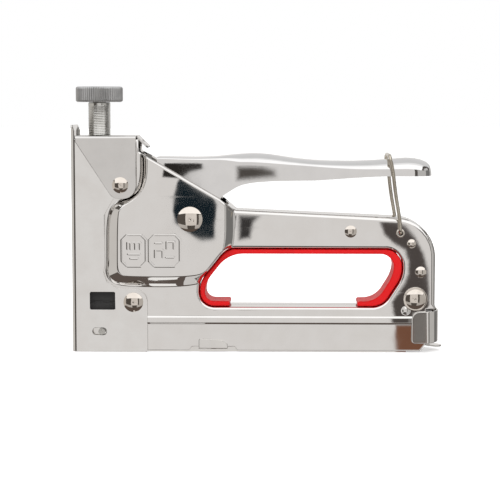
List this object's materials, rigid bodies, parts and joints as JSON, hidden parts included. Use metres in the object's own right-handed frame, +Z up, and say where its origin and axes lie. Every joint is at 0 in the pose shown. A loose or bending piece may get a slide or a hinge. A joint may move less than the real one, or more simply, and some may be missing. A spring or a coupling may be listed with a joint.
{
  "type": "staple gun",
  "caption": "Hand staple gun with a chromed sheet body, squeeze lever held by a wire bail, power adjusting screw and red grip liner.",
  "frame": {"origin": "centre of the object's footprint, on its bottom plane", "axes": "+X from the nose to the magazine latch, +Y to the right side of the tool, +Z up"},
  "size_m": [0.167, 0.0288, 0.119],
  "materials": {
    "chrome_sheet": "bright chrome plate on pressed sheet, lightly rippled",
    "rivet_steel": "plated, slightly uneven domes",
    "zinc_steel": "bright zinc plate with a faint warm tint",
    "knurled_steel": "satin nickel with fine knurls",
    "inner_steel": "oiled plain steel",
    "spring_steel": "dark spring wire",
    "bush_brass": "turned brass",
    "black_rubber": "matte rubber",
    "red_plastic": "glossy moulded plastic"
  },
  "bodies": {
    "root": {"shell_left": "chrome_sheet", "shell_right": "chrome_sheet", "nose_plate": "chrome_sheet", "head_cap": "chrome_sheet", "cap_rivet": "rivet_steel", "nose_rivet": "rivet_steel", "lever_pivot_pin": "rivet_steel", "grip_rivet": "rivet_steel", "shoulder_rivet": "rivet_steel", "rear_rivet": "rivet_steel", "magazine_rivet": "rivet_steel", "rivet_washer_left": "rivet_steel", "rivet_washer_right": "rivet_steel", "nose_pin_left": "rivet_steel", "nose_pin_right": "rivet_steel", "bail_eyelet": "rivet_steel", "screw_nut": "inner_steel", "rubber_bumper": "black_rubber", "grip_liner": "red_plastic", "magazine_channel": "inner_steel", "staple_rail": "inner_steel", "saddle_clip_left": "chrome_sheet", "saddle_clip_right": "chrome_sheet"},
    "lever": {"handle_lever": "chrome_sheet", "pivot_bush": "bush_brass", "lifting_arm": "inner_steel", "return_spring": "spring_steel"},
    "hammer": {"hammer_block": "inner_steel", "driver_blade": "inner_steel", "main_spring": "spring_steel"},
    "seat": {"spring_seat": "inner_steel"},
    "screw": {"adjusting_screw": "zinc_steel", "knob": "knurled_steel"},
    "bail": {"wire_bail": "zinc_steel"},
    "magazine": {"magazine_rod": "zinc_steel", "end_block": "inner_steel", "latch_clip": "chrome_sheet", "latch_tongue": "zinc_steel", "pusher_spring": "spring_steel"},
    "pusher": {"pusher": "inner_steel"}
  },
  "joints": [
    {"name": "lever_squeeze", "type": "hinge", "parent": "root", "child": "lever", "pos_m": [-0.0301, 0, 0.0601], "axis": [0, 1, 0], "range_deg": [0, 11], "stiffness_Nm_per_rad": 1.5, "springref_deg": -17.19, "deforming": ["return_spring"]},
    {"name": "hammer_lift", "type": "slide", "parent": "root", "child": "hammer", "axis": [0, 0, 1], "range_m": [0, 0.0078], "deforming": ["main_spring"]},
    {"name": "tension_slide", "type": "slide", "parent": "root", "child": "seat", "axis": [0, 0, 1], "range_m": [-0.009, 0.0015], "deforming": ["main_spring"]},
    {"name": "knob_turn", "type": "hinge", "parent": "seat", "child": "screw", "pos_m": [-0.07155, 0, 0.1121], "axis": [0, 0, 1], "range_deg": [-2162, 362]},
    {"name": "bail_swing", "type": "hinge", "parent": "root", "child": "bail", "pos_m": [0.0638, 0, 0.0538], "axis": [0, 1, 0], "range_deg": [0, 145]},
    {"name": "magazine_pull", "type": "slide", "parent": "root", "child": "magazine", "axis": [1, 0, 0], "range_m": [0, 0.11]},
    {"name": "pusher_slide", "type": "slide", "parent": "magazine", "child": "pusher", "axis": [1, 0, 0], "range_m": [0, 0.1], "stiffness_N_per_m": 15, "springref_m": -0.03, "deforming": ["pusher_spring"]}
  ],
  "couplings": [
    {"joint": "hammer_lift", "follows": "lever_squeeze", "m_per_rad": 0.04},
    {"joint": "knob_turn", "follows": "tension_slide", "rad_per_m": 4188.8}
  ]
}
